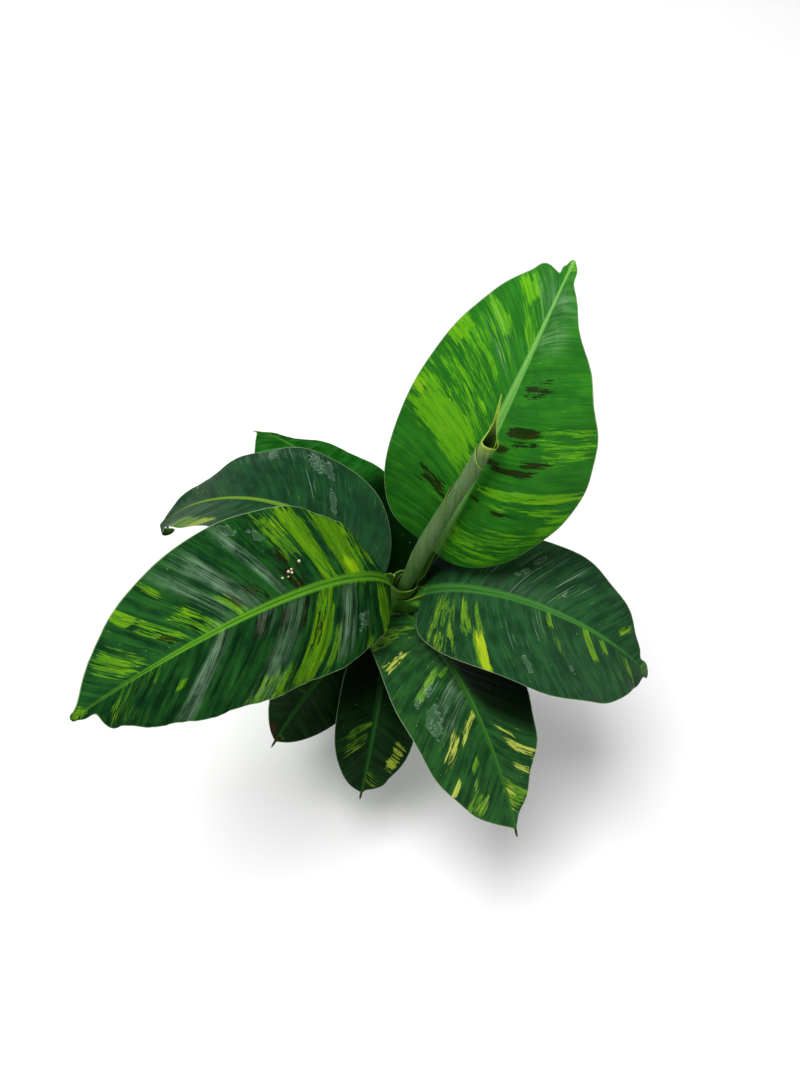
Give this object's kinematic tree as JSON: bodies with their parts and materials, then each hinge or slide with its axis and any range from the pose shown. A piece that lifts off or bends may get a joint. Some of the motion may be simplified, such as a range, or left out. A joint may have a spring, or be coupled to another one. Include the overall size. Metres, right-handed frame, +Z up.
{
  "type": "young banana plant",
  "caption": "Young variegated banana plant with a wrapped pseudostem, broad paddle leaves on channelled stalks and a rolled leaf standing in the crown",
  "frame": {"origin": "centre of the flat cut under the pseudostem, at ground level", "axes": "+Z up along the pseudostem; the plant is seen from -Y; +X to the right"},
  "size_m": [0.4468, 0.46, 0.5803],
  "materials": {
    "stem": "waxy green leaf sheaths, satin",
    "rolled": "grey-green waxy bloom, satin",
    "stalk": "smooth light green, satin",
    "young_blade": "bright green leaf streaked with lime, satin",
    "blade": "dark green leaf streaked with lime, satin",
    "old_blade": "very dark green leaf, satin"
  },
  "bodies": {
    "root": {"pseudostem": "stem", "rolled_leaf": "rolled", "leaf_upright": "young_blade", "leaf_long": "blade", "leaf_side": "blade", "leaf_arching": "blade", "leaf_front": "blade", "leaf_lower": "old_blade", "leaf_back": "old_blade", "leaf_oldest": "old_blade", "stalk_upright": "stalk", "stalk_long": "stalk", "stalk_side": "stalk", "stalk_arching": "stalk", "stalk_front": "stalk", "stalk_lower": "stalk", "stalk_back": "stalk", "stalk_oldest": "stalk"}
  },
  "joints": []
}
